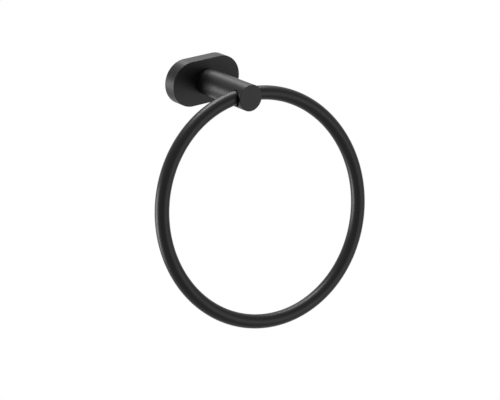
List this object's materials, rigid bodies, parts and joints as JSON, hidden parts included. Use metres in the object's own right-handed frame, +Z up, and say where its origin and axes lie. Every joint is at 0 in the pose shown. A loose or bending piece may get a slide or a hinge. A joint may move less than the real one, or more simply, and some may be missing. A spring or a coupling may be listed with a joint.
{
  "type": "towel ring",
  "caption": "Wall-mounted towel ring: a pill-shaped cover plate, a straight round post and a round-tube hoop that swings in a cross bore near the post's end.",
  "frame": {"origin": "on the wall, behind the middle of the cover plate and midway between the two wall-screw slots", "axes": "+Z up, +Y into the wall, so the post points along -Y into the room; +X to the right as seen from the room"},
  "size_m": [0.1631, 0.0931, 0.17],
  "materials": {
    "black_casting": "satin black powder coat on a die casting",
    "black_bar": "satin black powder coat on turned bar",
    "black_tube": "satin black powder coat on bent tube",
    "zinc_plated_steel": "bright zinc plate",
    "galvanised_sheet": "galvanised sheet",
    "black_oxide_steel": "black oxide"
  },
  "bodies": {
    "mount": {"cover_plate": "black_casting", "post": "black_bar", "post_screw": "zinc_plated_steel", "post_washer": "zinc_plated_steel", "wall_bracket": "galvanised_sheet", "cover_set_screw": "black_oxide_steel"},
    "ring": {"ring": "black_tube"}
  },
  "joints": [
    {"name": "ring_swing", "type": "hinge", "parent": "mount", "child": "ring", "pos_m": [0, -0.05271, 0], "axis": [0.9995, 0, 0.0332], "range_deg": [-184.3, 30.5]}
  ]
}
